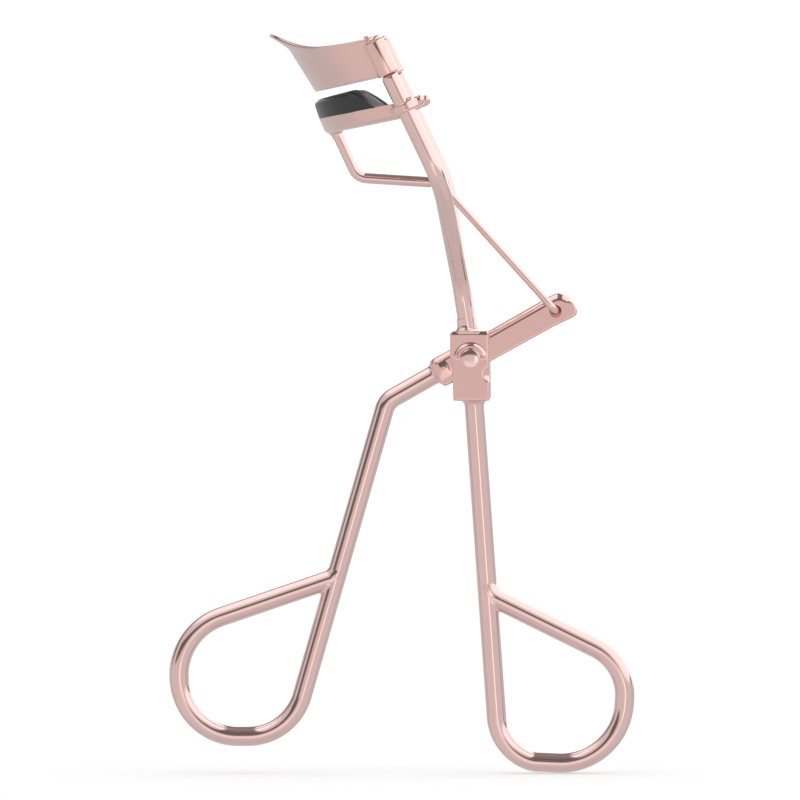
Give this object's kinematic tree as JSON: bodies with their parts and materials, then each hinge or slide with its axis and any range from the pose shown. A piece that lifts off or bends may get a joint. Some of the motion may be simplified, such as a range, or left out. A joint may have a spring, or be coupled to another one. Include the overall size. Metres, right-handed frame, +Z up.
{
  "type": "eyelash curler",
  "caption": "Hand-held eyelash curler: a curved, padded lower jaw slides on wire rails towards a flared upper jaw, worked by a lever, a link rod and wire finger loops.",
  "frame": {"origin": "middle of the whole width and depth, level with the lowest point of the finger loops", "axes": "+Z up from the finger loops to the jaws, +X from the moving handle to the fixed handle, +Y across the jaws to the far side rail"},
  "size_m": [0.0661, 0.038, 0.1051],
  "materials": {
    "rose_gold_plate": "mirror polished",
    "silicone": "satin"
  },
  "bodies": {
    "frame": {"upper_jaw_plate": "rose_gold_plate", "near_side_rail": "rose_gold_plate", "far_side_rail": "rose_gold_plate", "near_rail_braze": "rose_gold_plate", "far_rail_braze": "rose_gold_plate", "front_bracket_plate": "rose_gold_plate", "rear_bracket_plate": "rose_gold_plate", "bracket_spacer": "rose_gold_plate", "pivot_rivet": "rose_gold_plate", "fixed_handle": "rose_gold_plate", "fixed_handle_braze": "rose_gold_plate", "fixed_loop_braze": "rose_gold_plate"},
    "lever": {"lever_channel": "rose_gold_plate", "moving_handle": "rose_gold_plate", "moving_loop_braze": "rose_gold_plate", "lever_mouth_braze": "rose_gold_plate"},
    "lower_jaw": {"lower_jaw_channel": "rose_gold_plate", "silicone_pad": "silicone", "near_slide_eye": "rose_gold_plate", "far_slide_eye": "rose_gold_plate", "bow_strut": "rose_gold_plate", "strut_braze": "rose_gold_plate"},
    "link": {"link_rod": "rose_gold_plate"}
  },
  "joints": [
    {"name": "lever_swing", "type": "hinge", "parent": "frame", "child": "lever", "pos_m": [0.0099, 0, 0.0588], "axis": [0, -1, 0], "range_deg": [-25, 4.75]},
    {"name": "jaw_slide", "type": "slide", "parent": "frame", "child": "lower_jaw", "axis": [-0.4305, 0, 0.9026], "range_m": [-0.00575, 0.0011]},
    {"name": "link_swing", "type": "hinge", "parent": "lower_jaw", "child": "link", "pos_m": [0.0055, 0, 0.0837], "axis": [0, -1, 0], "range_deg": [-1.52, 0.3]}
  ],
  "couplings": [
    {"joint": "jaw_slide", "follows": "lever_swing", "m_per_rad": 0.013149},
    {"joint": "link_swing", "follows": "lever_swing", "ratio": 0.0601}
  ]
}
